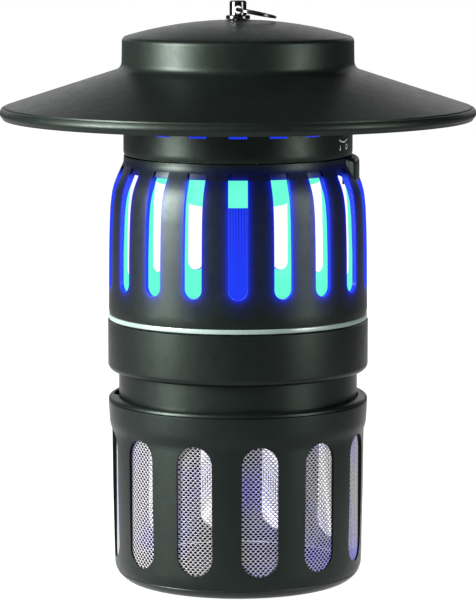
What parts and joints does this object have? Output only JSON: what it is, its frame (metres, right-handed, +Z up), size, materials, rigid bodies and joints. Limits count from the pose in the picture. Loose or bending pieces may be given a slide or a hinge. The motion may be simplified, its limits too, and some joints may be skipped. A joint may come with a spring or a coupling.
{
  "type": "hanging insect trap",
  "caption": "Insect trap: a wide round roof over a windowed ultraviolet lamp chamber, with a ducted fan below and a twist-off mesh catch cage.",
  "frame": {"origin": "centre of the base, on the plane of the feet", "axes": "+Z up along the trap's axis; the front faces -Y and the switch boss faces +X"},
  "size_m": [0.2612, 0.2612, 0.321],
  "materials": {
    "body_plastic": "fine-grained satin moulding, near black with a grey-green cast",
    "roof_plastic": "satin moulding, near black, slightly smoother than the body",
    "plated_metal": "polished nickel plate",
    "steel": "zinc-plated steel",
    "core_steel": "lacquered laminations",
    "white_plastic": "plain white moulding",
    "lamp_glass": "lit phosphor-coated glass tube",
    "pale_trim": "pale silver-green satin",
    "fan_plastic": "smooth black moulding",
    "rubber": "soft black rubber",
    "mesh_metal": "bright expanded metal"
  },
  "bodies": {
    "housing": {"roof_hat": "roof_plastic", "hanger_post": "plated_metal", "roof_spacer": "body_plastic", "hanger_nut": "steel", "ballast_can": "body_plastic", "ballast": "core_steel", "terminal_block": "white_plastic", "lamp_deck": "body_plastic", "deck_screw_1": "steel", "deck_screw_2": "steel", "deck_screw_3": "steel", "lampholder_screw_1": "steel", "lampholder_screw_2": "steel", "lampholder": "white_plastic", "lamp_base_front": "white_plastic", "lamp_base_rear": "white_plastic", "lamp_tube_front": "lamp_glass", "lamp_tube_rear": "lamp_glass", "reed_switch": "white_plastic", "lamp_shell": "body_plastic", "trim_ring": "pale_trim", "fan_housing": "body_plastic", "funnel_duct": "body_plastic", "duct_screw_1": "steel", "duct_screw_2": "steel", "duct_screw_3": "steel", "fan_guard": "body_plastic", "motor": "steel", "motor_bracket": "body_plastic", "bracket_screw_1": "steel", "bracket_screw_2": "steel", "bracket_screw_3": "steel", "flap_pin_left": "steel", "flap_pin_right": "steel", "cable_gland": "rubber", "gland_nut": "steel"},
    "switch": {"switch_ring": "body_plastic", "switch_magnet": "core_steel"},
    "hang_ring": {"split_ring": "plated_metal"},
    "rotor": {"motor_shaft": "steel", "fan_rotor": "fan_plastic", "fan_cap": "fan_plastic"},
    "flap_left": {"flap_left": "body_plastic"},
    "flap_right": {"flap_right": "body_plastic"},
    "seal": {"rim_seal": "rubber"},
    "cage": {"cage_wall": "body_plastic", "cage_mesh": "mesh_metal", "cage_floor": "body_plastic", "foot_1": "rubber", "foot_2": "rubber", "foot_3": "rubber", "foot_4": "rubber"}
  },
  "joints": [
    {"name": "switch_turn", "type": "hinge", "parent": "housing", "child": "switch", "pos_m": [0, 0, 0.2371], "axis": [0, 0, 1], "range_deg": [0, 12]},
    {"name": "ring_swing", "type": "hinge", "parent": "housing", "child": "hang_ring", "pos_m": [0, 0, 0.316], "axis": [0, -1, 0], "range_deg": [0, 202.8]},
    {"name": "fan_spin", "type": "hinge", "parent": "housing", "child": "rotor", "pos_m": [0, 0, 0.131], "axis": [0, 0, 1], "continuous": true},
    {"name": "flap_right_swing", "type": "hinge", "parent": "housing", "child": "flap_right", "pos_m": [0.0034, 0, 0.0956], "axis": [0, 1, 0], "range_deg": [0, 80], "stiffness_Nm_per_rad": 0.004, "springref_deg": -34.38},
    {"name": "flap_left_swing", "type": "hinge", "parent": "housing", "child": "flap_left", "pos_m": [-0.0034, 0, 0.0956], "axis": [0, -1, 0], "range_deg": [0, 80], "stiffness_Nm_per_rad": 0.004, "springref_deg": -34.38},
    {"name": "cage_slide", "type": "slide", "parent": "housing", "child": "seal", "axis": [0, 0, -1], "range_m": [0, 0.06]},
    {"name": "cage_twist", "type": "hinge", "parent": "seal", "child": "cage", "pos_m": [0, 0, 0.1036], "axis": [0, 0, 1], "range_deg": [0, 25]}
  ]
}
